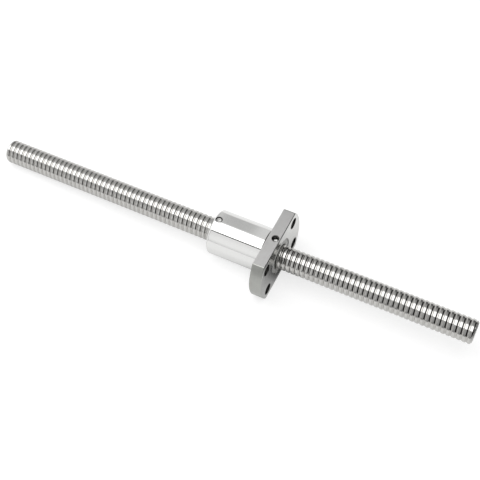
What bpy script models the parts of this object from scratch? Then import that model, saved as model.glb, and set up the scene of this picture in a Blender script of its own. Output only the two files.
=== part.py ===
"""Miniature ball screw: a threaded shaft and its flanged single nut, modelled at rest.

Lengths are in metres. +X runs along the shaft and the origin is the middle of the shaft's axis.
+Z points out of the flange's upper flat. An angle about the shaft starts at +Z and grows towards
-Y, which is how a right-hand thread turns as it runs towards +X.
The nut is modelled about its seat, the flange's back face, and hangs on an empty placed there.
"""

import math

import bmesh
import bpy
import numpy as np
from mathutils import Vector

MM = 0.001

# Ball thread
LEAD = 2.0 * MM
GROOVE_AT_TOP = 0.68 * MM
BALL_DIAMETER = 1.2 * MM
BALL_RISE_OVER_LAND = 0.3 * MM
GROOVE_CLEARANCE = 0.02 * MM
GROOVE_CONTACT_ANGLE = math.radians(48)
THREAD_SEGMENTS = 12

# Screw shaft
SCREW_DIAMETER = 9.5 * MM
SCREW_LENGTH = 202.5 * MM
SCREW_END_CHAMFER = 0.7 * MM

# Set screws that hold the wipers
SET_SCREW_DIAMETER = 2.5 * MM
SET_SCREW_FACE_MARGIN = 0.75 * MM
FRONT_SET_SCREW_SINK = 1.6 * MM
REAR_SET_SCREW_SINK = 0.4 * MM
SET_SCREW_POINT_DIAMETER = 1.2 * MM
SET_SCREW_POINT_GAP = 0.2 * MM
SET_SCREW_SHOULDER_GAP = 0.15 * MM
SET_SCREW_SOCKET_WIDTH = 1.3 * MM
SET_SCREW_SOCKET_DEPTH = 0.6 * MM
SET_SCREW_EDGE_CHAMFER = 0.2 * MM
SET_SCREW_HOLE_CHAMFER = 0.25 * MM
SET_SCREW_SEGMENTS = 16

# Wipers in the counterbores at the two ends of the nut
WIPER_POCKET_FLOOR_MARGIN = 0.25 * MM
WIPER_SHOULDER = 1.95 * MM
WIPER_POCKET_CHAMFER = 0.2 * MM
WIPER_RECESS = 0.2 * MM
WIPER_SCREW_CLEARANCE = 0.35 * MM
WIPER_KEY_GROOVE_DEPTH = 1.0 * MM
WIPER_SEGMENTS = 32
FIT_GAP = 0.1 * MM

# Ball circuits and their return deflectors
CIRCUIT_COUNT = 3
CIRCUIT_SPACING_TURNS = 3
DEFLECTOR_ANGLE = math.radians(270)
DEFLECTOR_SIDE_WALL = 0.4 * MM
DEFLECTOR_END_WALL = 0.575 * MM
DEFLECTOR_BODY_MARGIN = 1.3 * MM
CROSSING_HALF_ANGLE = math.radians(30)
CROSSING_CLEARANCE = 0.08 * MM
CROSSING_LIFT_SHARE = 0.26
RETURN_CLEARANCE = 0.05 * MM
BALL_LINK_RADIUS = 0.18 * MM
BALL_SIDES = 6
BALL_SHOULDER_SHARE = 0.6
PATH_SAMPLES = 720
RETURN_GROOVE_SIDES = 12
RETURN_GROOVE_STEPS = 24
DEFLECTOR_END_STEPS = 10

# Nut body and flange
NUT_SEAT_X = 18.5 * MM
NUT_BORE_CLEARANCE = 0.5 * MM
BODY_WALL = 1.8 * MM
BODY_RIM_RADIUS = 1.0 * MM
BODY_RIM_STEPS = 4
RELIEF_WIDTH = 0.9 * MM
RELIEF_DEPTH = 0.3 * MM
FLANGE_THICKNESS = 5.0 * MM
FLANGE_EDGE_CHAMFER = 0.25 * MM
FLANGE_ARC_STEPS = 12
BOLT_HOLE_DIAMETER = 4.5 * MM
BOLT_CIRCLE_STEP = 4.5 * MM
BOLT_ANGLE_FROM_Y = math.radians(30)
FLANGE_RIM = 4.0 * MM
FLANGE_FLAT_STEP = 2.0 * MM
TURNED_SEGMENTS = 48
CUT_MARGIN = 1.0 * MM

# Radii from the shaft outwards
SCREW_RADIUS = SCREW_DIAMETER / 2
BALL_RADIUS = BALL_DIAMETER / 2
BALL_CENTRE_RADIUS = SCREW_RADIUS + BALL_RISE_OVER_LAND
BORE_RADIUS = SCREW_RADIUS + NUT_BORE_CLEARANCE
WIPER_POCKET_RADIUS = BORE_RADIUS + WIPER_SHOULDER
WIPER_RADIUS = WIPER_POCKET_RADIUS - FIT_GAP
WIPER_KEY_FLOOR_RADIUS = WIPER_RADIUS - WIPER_KEY_GROOVE_DEPTH
BODY_RADIUS = WIPER_POCKET_RADIUS + BODY_WALL
BOLT_CIRCLE_RADIUS = BODY_RADIUS + BOLT_CIRCLE_STEP
FLANGE_RADIUS = BOLT_CIRCLE_RADIUS + FLANGE_RIM
FLANGE_HALF_HEIGHT = BODY_RADIUS + FLANGE_FLAT_STEP

# Lengths along the nut
SET_SCREW_INSET = SET_SCREW_FACE_MARGIN + SET_SCREW_DIAMETER / 2
WIPER_POCKET_DEPTH = SET_SCREW_INSET + SET_SCREW_DIAMETER / 2 + WIPER_POCKET_FLOOR_MARGIN
CIRCUIT_SPACING = CIRCUIT_SPACING_TURNS * LEAD
DEFLECTOR_WIDTH = LEAD + BALL_DIAMETER + 2 * DEFLECTOR_SIDE_WALL
DEFLECTOR_LENGTH = 2 * (
    BALL_CENTRE_RADIUS * math.sin(CROSSING_HALF_ANGLE) + BALL_RADIUS + DEFLECTOR_END_WALL
)
DEFLECTOR_ROOM = (CIRCUIT_COUNT - 1) * CIRCUIT_SPACING + DEFLECTOR_WIDTH + 2 * DEFLECTOR_BODY_MARGIN
BODY_LENGTH = WIPER_POCKET_DEPTH + DEFLECTOR_ROOM + RELIEF_WIDTH
CROSSING_LIFT = SCREW_RADIUS + BALL_RADIUS + CROSSING_CLEARANCE - BALL_CENTRE_RADIUS


def clear_scene():
    for obj in list(bpy.data.objects):
        bpy.data.objects.remove(obj, do_unlink=True)


def steel_like(name, colour, roughness, metallic=1.0):
    material = bpy.data.materials.new(name)
    material.use_nodes = True
    shader = material.node_tree.nodes["Principled BSDF"]
    shader.inputs["Base Color"].default_value = (*colour, 1.0)
    shader.inputs["Roughness"].default_value = roughness
    shader.inputs["Metallic"].default_value = metallic
    material.diffuse_color = (*colour, 1.0)
    return material


def on_circle(x, radius, angle):
    """A point at this angle about the shaft's axis, from +Z towards -Y."""
    return Vector((x, -radius * math.sin(angle), radius * math.cos(angle)))


def add_object(name, bm, material=None, parent=None, smooth_angle=30):
    """Makes an object of the bmesh, with faces pointing out and round faces shaded smooth."""
    bmesh.ops.recalc_face_normals(bm, faces=bm.faces)
    mesh = bpy.data.meshes.new(name)
    bm.to_mesh(mesh)
    bm.free()
    mesh.shade_smooth()
    mesh.set_sharp_from_angle(angle=math.radians(smooth_angle))
    if material:
        mesh.materials.append(material)
    obj = bpy.data.objects.new(name, mesh)
    obj.parent = parent
    bpy.context.collection.objects.link(obj)
    return obj


def add_axis(name, x):
    """An empty on the shaft's axis that carries the pieces of one body."""
    empty = bpy.data.objects.new(name, None)
    empty.empty_display_type = "ARROWS"
    empty.empty_display_size = 10 * MM
    empty.location = (x, 0, 0)
    bpy.context.collection.objects.link(empty)
    return empty


def as_cutter(obj):
    obj.hide_render = True
    obj.display_type = "WIRE"
    return obj


def apply_boolean(obj, cutter, operation):
    modifier = obj.modifiers.new(f"{operation.title()} {cutter.name}", "BOOLEAN")
    modifier.operation = operation
    modifier.object = cutter


def turned(profile, segments=TURNED_SEGMENTS, closed=False):
    """Spins (x, radius) points about X. A closed profile makes a ring, an open one ends on the axis."""
    bm = bmesh.new()
    verts = [bm.verts.new((x, 0, radius)) for x, radius in profile]
    pairs = list(zip(verts, verts[1:]))
    if closed:
        pairs.append((verts[-1], verts[0]))
    edges = [bm.edges.new(pair) for pair in pairs]
    bmesh.ops.spin(
        bm, geom=verts + edges, cent=(0, 0, 0), axis=(1, 0, 0), dvec=(0, 0, 0),
        angle=2 * math.pi, steps=segments, use_merge=True, use_duplicate=False,
    )
    bmesh.ops.remove_doubles(bm, verts=bm.verts, dist=0.001 * MM)
    return bm


def lofted(sections):
    """Joins outlines with as many points each into one closed body with flat ends."""
    bm = bmesh.new()
    rings = [[bm.verts.new(point) for point in section] for section in sections]
    for low, high in zip(rings, rings[1:]):
        for i, vert in enumerate(low):
            j = (i + 1) % len(low)
            bm.faces.new((vert, low[j], high[j], high[i]))
    bm.faces.new(rings[0])
    bm.faces.new(rings[-1])
    return bm


def drilled(radius, start, end, segments=24):
    """A straight cutter for a hole between two points."""
    start, end = Vector(start), Vector(end)
    side = (end - start).orthogonal().normalized() * radius
    across = (end - start).normalized().cross(side)
    turns = [2 * math.pi * i / segments for i in range(segments)]
    ring = [side * math.cos(turn) + across * math.sin(turn) for turn in turns]
    return lofted([[end + point for point in ring], [start + point for point in ring]])


def groove_profile(land_radius, outward):
    """One pitch of the ball thread as (x, radius) corners: land edge, groove floor, land edge.

    The floor and the two flanks touch a circle a little larger than the ball. outward is 1 for the
    nut, whose groove runs away from the axis, and -1 for the shaft.
    """
    reach = BALL_RADIUS + GROOVE_CLEARANCE
    floor_half = reach * math.tan(GROOVE_CONTACT_ANGLE / 2)
    land_height = (land_radius - BALL_CENTRE_RADIUS) * outward
    land_half = (reach - land_height * math.cos(GROOVE_CONTACT_ANGLE)) / math.sin(GROOVE_CONTACT_ANGLE)
    floor_radius = BALL_CENTRE_RADIUS + outward * reach
    return [
        (-land_half, land_radius),
        (-floor_half, floor_radius),
        (floor_half, floor_radius),
        (land_half, land_radius),
    ]


def threaded_rod(profile, groove_x, x_low, x_high, start_angle=0.0):
    """A rod with the profile wound round it, reaching past both x values and closed to a point at each end.

    Each column of points stands one step further round and along the helix, so the column after a
    full turn is the first one, one pitch on. start_angle, from the top, is where the first one stands.
    """
    first = math.floor((x_low - groove_x) / LEAD) - 1
    last = math.ceil((x_high - groove_x) / LEAD) + 1
    corners = len(profile)
    bm = bmesh.new()
    columns = []
    for step in range(THREAD_SEGMENTS):
        angle = start_angle + 2 * math.pi * step / THREAD_SEGMENTS
        shift = groove_x + LEAD * angle / (2 * math.pi)
        columns.append([
            bm.verts.new(on_circle(shift + pitch * LEAD + x, radius, angle))
            for pitch in range(first, last + 1)
            for x, radius in profile
        ])
    count = len(columns[0])
    for step in range(THREAD_SEGMENTS):
        wraps = step == THREAD_SEGMENTS - 1
        here = columns[step]
        after = columns[0][corners:] if wraps else columns[step + 1]
        length = count - corners if wraps else count
        for i in range(length - 1):
            bm.faces.new((here[i], here[i + 1], after[i + 1], after[i]))
    low_rim = [column[0] for column in columns] + columns[0][corners:0:-1]
    high_rim = [column[-1] for column in columns] + columns[-1][-2:-corners - 2:-1]
    for rim, centre_x in ((low_rim, (first - 1) * LEAD), (high_rim, (last + 2) * LEAD)):
        centre = bm.verts.new((groove_x + centre_x, 0, 0))
        for vert, other in zip(rim, rim[1:] + rim[:1]):
            bm.faces.new((vert, other, centre))
    return bm


def ball_path(angle, circuit_x):
    """Where a ball's centre is at this angle from the deflector, in one closed circuit.

    Outside the crossing the ball follows the helix. In the crossing it steps back one pitch over
    the land between two turns, lifted clear of the shaft.
    """
    if angle >= CROSSING_HALF_ANGLE:
        x = circuit_x + LEAD * (angle - math.pi) / (2 * math.pi)
        return on_circle(x, BALL_CENTRE_RADIUS, DEFLECTOR_ANGLE + angle)
    share = max(0.0, (angle + CROSSING_HALF_ANGLE) / (2 * CROSSING_HALF_ANGLE))
    x = circuit_x + LEAD * (angle + math.pi) / (2 * math.pi) - LEAD * smooth_step(share)
    lift = CROSSING_LIFT * smooth_step(min(share, 1 - share) / CROSSING_LIFT_SHARE)
    return on_circle(x, BALL_CENTRE_RADIUS + lift, DEFLECTOR_ANGLE + angle)


def smooth_step(share):
    share = min(max(share, 0.0), 1.0)
    return share * share * (3 - 2 * share)


def swept(points, radii, sides, closed):
    """A tube through the points, with its own radius at each of them."""
    bm = bmesh.new()
    rings = []
    count = len(points)
    for i, (point, radius) in enumerate(zip(points, radii)):
        before = points[i - 1] if closed or i else point
        after = points[(i + 1) % count] if closed or i < count - 1 else point
        along = (after - before).normalized()
        outward = Vector((0, point.y, point.z)).normalized()
        across = along.cross(outward).normalized()
        outward = across.cross(along)
        turns = [2 * math.pi * side / sides for side in range(sides)]
        rings.append([
            bm.verts.new(point + radius * (across * math.cos(turn) + outward * math.sin(turn)))
            for turn in turns
        ])
    for i in range(count if closed else count - 1):
        low, high = rings[i], rings[(i + 1) % count]
        for side in range(sides):
            other = (side + 1) % sides
            bm.faces.new((low[side], low[other], high[other], high[side]))
    if not closed:
        bm.faces.new(rings[0])
        bm.faces.new(rings[-1])
    return bm


def ball_circuit_body(circuit_x):
    """One circuit's balls as a closed chain. Each ball meets the next at a thin link."""
    low = -CROSSING_HALF_ANGLE
    angles = np.linspace(low, low + 2 * math.pi, PATH_SAMPLES + 1)
    dense = np.array([ball_path(angle, circuit_x) for angle in angles])
    travelled = np.concatenate([[0], np.cumsum(np.linalg.norm(np.diff(dense, axis=0), axis=1))])
    balls = math.floor(travelled[-1] / BALL_DIAMETER)
    pitch = travelled[-1] / balls
    shoulder = BALL_SHOULDER_SHARE * BALL_RADIUS
    shoulder_radius = math.sqrt(BALL_RADIUS**2 - shoulder**2)
    rings = [(0, BALL_LINK_RADIUS)]
    rings += [(pitch / 2 - shoulder, shoulder_radius), (pitch / 2, BALL_RADIUS)]
    rings += [(pitch / 2 + shoulder, shoulder_radius)]
    points, radii = [], []
    for ball in range(balls):
        for offset, radius in rings:
            angle = np.interp(ball * pitch + offset, travelled, angles)
            points.append(ball_path(angle, circuit_x))
            radii.append(radius)
    return swept(points, radii, BALL_SIDES, closed=True)


def return_groove_body(circuit_x):
    """The S-shaped channel in a deflector, running out past both of its ends."""
    reach = 2 * CROSSING_HALF_ANGLE
    steps = RETURN_GROOVE_STEPS
    angles = [-reach + 2 * reach * step / steps for step in range(steps + 1)]
    points = []
    for angle in angles:
        if angle >= -CROSSING_HALF_ANGLE:
            points.append(ball_path(angle, circuit_x))
        else:
            points.append(ball_path(angle + 2 * math.pi, circuit_x))
    radius = BALL_RADIUS + RETURN_CLEARANCE
    return swept(points, [radius] * len(points), RETURN_GROOVE_SIDES, closed=False)


def circuit_places():
    """Where the circuits cross back, from the nut's seat: on lands, about the middle of their room."""
    land_x = GROOVE_AT_TOP - NUT_SEAT_X + LEAD * DEFLECTOR_ANGLE / (2 * math.pi) + LEAD / 2
    middle = -RELIEF_WIDTH - DEFLECTOR_ROOM / 2
    nearest = land_x + LEAD * round((middle - land_x) / LEAD)
    first = -(CIRCUIT_COUNT - 1) / 2
    return [nearest + (first + index) * CIRCUIT_SPACING for index in range(CIRCUIT_COUNT)]


def stadium(circuit_x, grow):
    """A deflector's outline, grown by the given gap, carried from the axis out past the body."""
    radius = DEFLECTOR_WIDTH / 2 + grow
    straight = (DEFLECTOR_LENGTH - DEFLECTOR_WIDTH) / 2
    steps = DEFLECTOR_END_STEPS
    outline = []
    for centre_z, start in ((straight, 0), (-straight, math.pi)):
        for step in range(steps + 1):
            turn = start + math.pi * step / steps
            outline.append((circuit_x + radius * math.cos(turn), centre_z + radius * math.sin(turn)))
    return lofted([[(x, y, z) for x, z in outline] for y in (0, BODY_RADIUS + CUT_MARGIN)])


def flange_outline(inset):
    """The flange's (y, z) outline: two arcs and two flats, with small chamfers where they meet."""
    radius = FLANGE_RADIUS - inset
    half_height = FLANGE_HALF_HEIGHT - inset
    corner = math.asin(half_height / radius)
    arc_end = corner - FLANGE_EDGE_CHAMFER / radius
    flat_end = radius * math.cos(corner) - FLANGE_EDGE_CHAMFER
    steps = FLANGE_ARC_STEPS
    outline = []
    for side in (0, math.pi):
        facing = math.cos(side)
        for step in range(steps + 1):
            turn = side - arc_end + 2 * arc_end * step / steps
            outline.append((radius * math.cos(turn), radius * math.sin(turn)))
        outline.append((facing * flat_end, facing * half_height))
        outline.append((-facing * flat_end, facing * half_height))
    return outline


def flange_body():
    chamfer = FLANGE_EDGE_CHAMFER
    sections = [
        (0, chamfer),
        (chamfer, 0),
        (FLANGE_THICKNESS - chamfer, 0),
        (FLANGE_THICKNESS, chamfer),
    ]
    return lofted([[(x, y, z) for y, z in flange_outline(inset)] for x, inset in sections])


def nut_barrel_body():
    """The round body from its rear rim to its relief, run on into the flange to join it."""
    rear = -BODY_LENGTH
    profile = [(rear, 0)]
    for step in range(BODY_RIM_STEPS + 1):
        turn = math.pi / 2 * step / BODY_RIM_STEPS
        x = rear + BODY_RIM_RADIUS * (1 - math.cos(turn))
        profile.append((x, BODY_RADIUS - BODY_RIM_RADIUS * (1 - math.sin(turn))))
    relief_radius = BODY_RADIUS - RELIEF_DEPTH
    join_x = FLANGE_THICKNESS / 2
    profile += [(-RELIEF_WIDTH, BODY_RADIUS), (-RELIEF_WIDTH, relief_radius)]
    profile += [(join_x, relief_radius), (join_x, 0)]
    return turned(profile)


def bolt_places():
    """The (y, z) centres of the four bolt holes."""
    along_y = BOLT_CIRCLE_RADIUS * math.cos(BOLT_ANGLE_FROM_Y)
    along_z = BOLT_CIRCLE_RADIUS * math.sin(BOLT_ANGLE_FROM_Y)
    return [(y, z) for y in (along_y, -along_y) for z in (along_z, -along_z)]


def wiper_pocket_body(face_x, facing):
    """A counterbore chamfered at its mouth. facing is 1 when it opens towards +X."""
    radius = WIPER_POCKET_RADIUS
    profile = [
        (CUT_MARGIN, 0),
        (CUT_MARGIN, radius + WIPER_POCKET_CHAMFER + CUT_MARGIN),
        (-WIPER_POCKET_CHAMFER, radius),
        (-WIPER_POCKET_DEPTH, radius),
        (-WIPER_POCKET_DEPTH, 0),
    ]
    return turned([(face_x + facing * x, point_radius) for x, point_radius in profile])


def set_screw_hole_body(x, surface_z):
    """A tapped hole from the outside down into the wiper's counterbore, chamfered at its mouth."""
    radius = SET_SCREW_DIAMETER / 2
    mouth = radius + SET_SCREW_HOLE_CHAMFER + CUT_MARGIN
    heights = [
        (surface_z + CUT_MARGIN, mouth),
        (surface_z - SET_SCREW_HOLE_CHAMFER, radius),
        (BORE_RADIUS, radius),
    ]
    return lofted([round_section(x, z, size, SET_SCREW_SEGMENTS) for z, size in heights])


def round_section(x, z, radius, segments):
    turns = [2 * math.pi * (i + 0.5) / segments for i in range(segments)]
    return [(x + radius * math.cos(turn), radius * math.sin(turn), z) for turn in turns]


def build_screw(materials, parent):
    """The threaded shaft, turned half a step so that it lies on a facet and doesn't roll off a corner."""
    half_step = math.pi / THREAD_SEGMENTS
    groove = groove_profile(SCREW_RADIUS, outward=-1)
    thread = threaded_rod(groove, GROOVE_AT_TOP, -SCREW_LENGTH / 2, SCREW_LENGTH / 2, half_step)
    screw = add_object("screw_shaft", thread, materials["screw"], parent)
    half = SCREW_LENGTH / 2
    wide = SCREW_RADIUS + CUT_MARGIN
    taper = SCREW_END_CHAMFER + CUT_MARGIN
    blank = turned([
        (half, 0),
        (half, SCREW_RADIUS - SCREW_END_CHAMFER),
        (half - taper, wide),
        (taper - half, wide),
        (-half, SCREW_RADIUS - SCREW_END_CHAMFER),
        (-half, 0),
    ])
    apply_boolean(screw, as_cutter(add_object("screw_blank", blank, parent=parent)), "INTERSECT")


def nut_cutters():
    """Name and body of everything that is taken out of the nut."""
    rear, front = -BODY_LENGTH, FLANGE_THICKNESS
    yield "ball_thread_cutter", threaded_rod(
        widened(groove_profile(BORE_RADIUS, outward=1)), GROOVE_AT_TOP - NUT_SEAT_X, rear, front
    )
    yield "rear_wiper_pocket", wiper_pocket_body(rear, -1)
    yield "front_wiper_pocket", wiper_pocket_body(front, 1)
    for index, (y, z) in enumerate(bolt_places(), 1):
        start, end = (-CUT_MARGIN, y, z), (front + CUT_MARGIN, y, z)
        yield f"bolt_hole_{index}", drilled(BOLT_HOLE_DIAMETER / 2, start, end)
    for name, (x, surface_z, _sink) in set_screw_places().items():
        yield f"{name}_hole", set_screw_hole_body(x, surface_z)
    for index, circuit_x in enumerate(circuit_places(), 1):
        yield f"deflector_pocket_{index}", stadium(circuit_x, FIT_GAP)


def widened(profile):
    """Moves a profile out so that the flats of the faceted bore, not its corners, lie at its radius."""
    return [(x, radius / math.cos(math.pi / THREAD_SEGMENTS)) for x, radius in profile]


def set_screw_places():
    """Place along the nut, height of the surface and depth below it for each set screw."""
    front_x = FLANGE_THICKNESS - SET_SCREW_INSET
    rear_x = SET_SCREW_INSET - BODY_LENGTH
    return {
        "front_wiper_set_screw": (front_x, FLANGE_HALF_HEIGHT, FRONT_SET_SCREW_SINK),
        "rear_wiper_set_screw": (rear_x, BODY_RADIUS, REAR_SET_SCREW_SINK),
    }


def build_nut(materials, parent):
    nut = add_object("ball_nut", flange_body(), materials["nut"], parent)
    barrel = as_cutter(add_object("nut_barrel", nut_barrel_body(), parent=parent))
    apply_boolean(nut, barrel, "UNION")
    for name, body in nut_cutters():
        apply_boolean(nut, as_cutter(add_object(name, body, parent=parent)), "DIFFERENCE")


def build_deflectors(materials, parent):
    shell = turned(
        [
            (-BODY_LENGTH, BORE_RADIUS),
            (-BODY_LENGTH, BODY_RADIUS),
            (0, BODY_RADIUS),
            (0, BORE_RADIUS),
        ],
        closed=True,
    )
    wall = as_cutter(add_object("nut_wall", shell, parent=parent))
    for index, circuit_x in enumerate(circuit_places(), 1):
        body = stadium(circuit_x, 0)
        deflector = add_object(f"return_deflector_{index}", body, materials["deflector"], parent)
        groove = add_object(f"return_groove_{index}", return_groove_body(circuit_x), parent=parent)
        apply_boolean(deflector, wall, "INTERSECT")
        apply_boolean(deflector, as_cutter(groove), "DIFFERENCE")


def build_balls(materials, parent):
    for index, circuit_x in enumerate(circuit_places(), 1):
        body = ball_circuit_body(circuit_x)
        add_object(f"ball_circuit_{index}", body, materials["balls"], parent, smooth_angle=80)


def build_wiper(name, seat_x, facing, materials, parent):
    """A turned ring in its counterbore. facing is 1 when its open face looks towards +X."""
    bore = SCREW_RADIUS + WIPER_SCREW_CLEARANCE
    length = WIPER_POCKET_DEPTH - FIT_GAP - WIPER_RECESS
    key_half = SET_SCREW_POINT_DIAMETER / 2 + SET_SCREW_POINT_GAP
    key_middle = WIPER_POCKET_DEPTH - FIT_GAP - SET_SCREW_INSET
    profile = [
        (0, bore),
        (0, WIPER_RADIUS),
        (key_middle - key_half, WIPER_RADIUS),
        (key_middle - key_half, WIPER_KEY_FLOOR_RADIUS),
        (key_middle + key_half, WIPER_KEY_FLOOR_RADIUS),
        (key_middle + key_half, WIPER_RADIUS),
        (length, WIPER_RADIUS),
        (length, bore),
    ]
    placed = [(seat_x + facing * (FIT_GAP + x), radius) for x, radius in profile]
    add_object(name, turned(placed, WIPER_SEGMENTS, closed=True), materials["wiper"], parent)


def build_set_screws(materials, parent):
    """Dog-point set screws whose points stand in the wipers' key grooves."""
    radius = SET_SCREW_DIAMETER / 2 - FIT_GAP
    point = SET_SCREW_POINT_DIAMETER / 2
    tip_z = WIPER_KEY_FLOOR_RADIUS + SET_SCREW_POINT_GAP
    shoulder_z = WIPER_RADIUS + SET_SCREW_SHOULDER_GAP
    for name, (x, surface_z, sink) in set_screw_places().items():
        top_z = surface_z - sink
        heights = [
            (tip_z, point),
            (shoulder_z, point),
            (shoulder_z, radius - SET_SCREW_EDGE_CHAMFER),
            (shoulder_z + SET_SCREW_EDGE_CHAMFER, radius),
            (top_z - SET_SCREW_EDGE_CHAMFER, radius),
            (top_z, radius - SET_SCREW_EDGE_CHAMFER),
        ]
        sections = [round_section(x, z, size, SET_SCREW_SEGMENTS) for z, size in heights]
        screw = add_object(name, lofted(sections), materials["set_screw"], parent)
        socket_radius = SET_SCREW_SOCKET_WIDTH / math.sqrt(3)
        depths = (top_z - SET_SCREW_SOCKET_DEPTH, top_z + CUT_MARGIN)
        socket = lofted([round_section(x, z, socket_radius, 6) for z in depths])
        cutter = as_cutter(add_object(f"{name}_socket", socket, parent=parent))
        apply_boolean(screw, cutter, "DIFFERENCE")


def main():
    clear_scene()
    materials = {
        "screw": steel_like("hardened_screw_steel", (0.56, 0.55, 0.53), 0.22),
        "nut": steel_like("ground_nut_steel", (0.66, 0.66, 0.65), 0.28),
        "deflector": steel_like("deflector_steel", (0.50, 0.50, 0.49), 0.40),
        "balls": steel_like("ball_steel", (0.72, 0.72, 0.72), 0.08),
        "wiper": steel_like("wiper_resin", (0.42, 0.42, 0.40), 0.50, metallic=0.0),
        "set_screw": steel_like("set_screw_steel", (0.45, 0.45, 0.44), 0.30),
    }
    screw_axis = add_axis("screw_axis", 0)
    wiper_axis = add_axis("wiper_axis", NUT_SEAT_X)
    nut_axis = add_axis("nut_axis", NUT_SEAT_X)
    build_screw(materials, screw_axis)
    build_nut(materials, nut_axis)
    front_seat = FLANGE_THICKNESS - WIPER_POCKET_DEPTH
    rear_seat = WIPER_POCKET_DEPTH - BODY_LENGTH
    build_wiper("front_wiper", front_seat, 1, materials, wiper_axis)
    build_wiper("rear_wiper", rear_seat, -1, materials, wiper_axis)
    build_set_screws(materials, nut_axis)
    build_deflectors(materials, nut_axis)
    build_balls(materials, nut_axis)


main()
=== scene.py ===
"""Looks of the miniature ball screw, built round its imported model.

Lengths are in metres. +X runs along the shaft and +Z points out of the flange's upper flat.
An angle about the shaft starts at +Z and grows towards -Y, as a right-hand thread turns.
"""

import math

import bmesh
import bpy
import numpy as np
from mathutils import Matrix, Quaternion, Vector


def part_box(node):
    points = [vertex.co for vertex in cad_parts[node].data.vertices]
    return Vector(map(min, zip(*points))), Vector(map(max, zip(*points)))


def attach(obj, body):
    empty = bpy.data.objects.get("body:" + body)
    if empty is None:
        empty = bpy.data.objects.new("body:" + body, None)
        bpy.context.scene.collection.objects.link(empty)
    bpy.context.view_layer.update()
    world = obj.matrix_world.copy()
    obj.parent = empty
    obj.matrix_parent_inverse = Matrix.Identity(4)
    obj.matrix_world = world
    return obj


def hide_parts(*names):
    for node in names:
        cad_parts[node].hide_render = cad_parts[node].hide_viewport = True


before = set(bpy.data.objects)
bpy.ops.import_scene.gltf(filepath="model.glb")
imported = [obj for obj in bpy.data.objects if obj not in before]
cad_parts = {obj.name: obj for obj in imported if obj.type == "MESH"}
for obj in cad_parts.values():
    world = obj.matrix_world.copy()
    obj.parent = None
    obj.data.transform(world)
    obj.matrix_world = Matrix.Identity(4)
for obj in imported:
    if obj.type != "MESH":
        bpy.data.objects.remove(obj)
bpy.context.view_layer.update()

MM = 0.001

# Ball thread
LEAD = 2.0 * MM
GROOVE_AT_TOP = 0.68 * MM
BALL_RADIUS = 0.6 * MM
BALL_CENTRE_RADIUS = 5.05 * MM
LAND_RADIUS = 4.75 * MM
BORE_RADIUS = 5.25 * MM
ARCH_RADIUS = 0.66 * MM
ARCH_CONTACT_ANGLE = math.radians(45)
ARCH_STEPS = 3
LAND_EDGE_RADIUS = 0.14 * MM
LAND_EDGE_SHARES = (0.33, 0.67, 1.0)
SHAFT_END_CHAMFER = 0.7 * MM
SHAFT_COLUMNS = 72
NUT_THREAD_COLUMNS = 48

# Nut, from the frame's own boxes where they give it
shaft_low, shaft_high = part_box("screw_shaft")
nut_low, nut_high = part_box("ball_nut")
SHAFT_HALF_LENGTH = shaft_high.x
REAR_X = nut_low.x
FRONT_X = nut_high.x
FLANGE_RADIUS = nut_high.y
FLANGE_HALF_HEIGHT = nut_high.z
FLANGE_THICKNESS = 5.0 * MM
SEAT_X = FRONT_X - FLANGE_THICKNESS
FLANGE_EDGE_CHAMFER = 0.22 * MM
EDGE_EASE = 0.04 * MM
EDGE_EASE_RISE = 0.3 * EDGE_EASE
FLANGE_CORNER = 0.3 * MM
FLANGE_ARC_STEPS = 40
BODY_RADIUS = 9.0 * MM
BODY_RIM_RADIUS = 1.0 * MM
BODY_RIM_STEPS = 10
RELIEF_WIDTH = 0.9 * MM
RELIEF_DEPTH = 0.3 * MM
SMALL_EDGE = 0.1 * MM
BOLT_HOLE_RADIUS = 2.25 * MM
BOLT_CIRCLE_RADIUS = 13.5 * MM
BOLT_ANGLE_FROM_Y = math.radians(30)
BOLT_HOLE_CHAMFER = 0.15 * MM
FIT_GAP = 0.1 * MM
CUT_MARGIN = 1.0 * MM

# Wipers and their set screws
wiper_low, wiper_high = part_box("front_wiper")
WIPER_RADIUS = wiper_high.y
WIPER_LENGTH = wiper_high.x - wiper_low.x
WIPER_SCREW_CLEARANCE = 0.35 * MM
WIPER_BORE = LAND_RADIUS + WIPER_SCREW_CLEARANCE
WIPER_KEY_DEPTH = 1.0 * MM
WIPER_KEY_HALF_WIDTH = 0.8 * MM
WIPER_EDGE = 0.12 * MM
POCKET_RADIUS = WIPER_RADIUS + FIT_GAP
POCKET_DEPTH = FRONT_X - wiper_low.x + FIT_GAP
POCKET_CHAMFER = 0.2 * MM
SET_SCREW_INSET = 2.0 * MM
SET_SCREW_HOLE_RADIUS = 1.25 * MM
SET_SCREW_HOLE_CHAMFER = 0.25 * MM
SET_SCREW_RADIUS = SET_SCREW_HOLE_RADIUS - FIT_GAP
SET_SCREW_POINT_RADIUS = 0.6 * MM
SET_SCREW_SHOULDER_GAP = 0.15 * MM
SET_SCREW_SHOULDER_Z = WIPER_RADIUS + SET_SCREW_SHOULDER_GAP
SET_SCREW_EDGE = 0.2 * MM
SOCKET_WIDTH = 1.3 * MM
SOCKET_RADIUS = SOCKET_WIDTH / math.sqrt(3)
SOCKET_DEPTH = 0.6 * MM

# Ball circuits and return deflectors
CIRCUITS = (1, 2, 3)
DEFLECTOR_ANGLE = math.radians(270)
DEFLECTOR_WIDTH = 4.0 * MM
DEFLECTOR_LENGTH = 7.4 * MM
CROSSING_HALF_ANGLE = math.radians(30)
CROSSING_LIFT = 0.38 * MM
CROSSING_LIFT_SHARE = 0.26
DEFLECTOR_END_STEPS = 28
RETURN_CLEARANCE = 0.05 * MM
RETURN_STEPS = 48
RETURN_SIDES = 32
BALLS_IN_CIRCUIT = 26
PATH_SAMPLES = 1441

# Fineness of the meshes
TURNED_SEGMENTS = 160
SMALL_SEGMENTS = 64
SHARP_ANGLE = math.radians(32)
SLIVER = 0.001 * MM

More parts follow.
